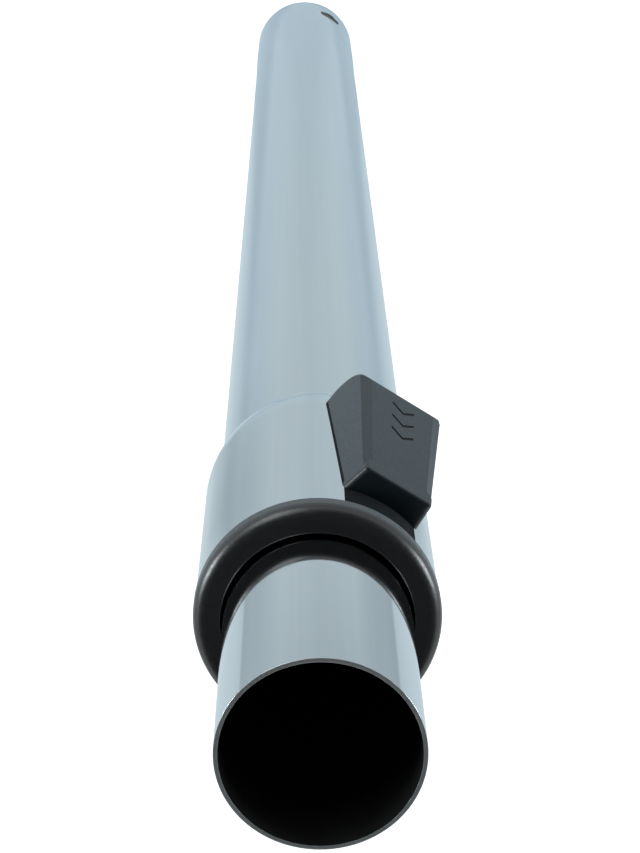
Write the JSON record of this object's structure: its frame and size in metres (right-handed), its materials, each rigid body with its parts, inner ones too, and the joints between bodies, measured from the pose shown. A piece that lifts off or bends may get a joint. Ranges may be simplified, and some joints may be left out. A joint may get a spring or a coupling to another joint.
{
  "type": "telescopic vacuum wand",
  "caption": "Two-section telescopic suction wand in chromed steel tube, with a belled lock housing, a dark sliding release button, a black end collar and an open socket for the hose handle.",
  "frame": {"origin": "on the tubes' axis at the handle end's cut face, the end that the wand stands on", "axes": "+Z along the tubes towards the tool end, +X towards the release button"},
  "size_m": [0.0506, 0.0422, 0.585],
  "materials": {
    "chromed_tube": "bright chrome plate on drawn steel tube",
    "black_plastic": "moulded, satin",
    "collar_plastic": "moulded, satin black",
    "button_plastic": "moulded, fine matt grain, dark grey",
    "seal_rubber": "matt rubber",
    "spring_steel": "bare steel"
  },
  "bodies": {
    "outer_section": {"outer_tube": "chromed_tube", "guide_sleeve": "black_plastic", "end_collar": "collar_plastic", "wiper_ring": "seal_rubber", "return_spring": "spring_steel"},
    "inner_section": {"inner_tube": "chromed_tube", "stop_bush": "black_plastic", "seal_ring": "seal_rubber"},
    "release_slide": {"slide_button": "button_plastic", "slide_carriage": "black_plastic"},
    "roller": {"lock_roller": "spring_steel"}
  },
  "joints": [
    {"name": "telescope", "type": "slide", "parent": "outer_section", "child": "inner_section", "axis": [0, 0, 1], "range_m": [0, 0.36]},
    {"name": "button_slide", "type": "slide", "parent": "outer_section", "child": "release_slide", "axis": [0, 0, 1], "range_m": [0, 0.005], "stiffness_N_per_m": 500, "springref_m": -0.004, "deforming": ["return_spring"]},
    {"name": "roller_lift", "type": "slide", "parent": "outer_section", "child": "roller", "axis": [1, 0, 0], "range_m": [0, 0.00125]}
  ],
  "couplings": [
    {"joint": "roller_lift", "follows": "button_slide", "ratio": 0.25}
  ]
}
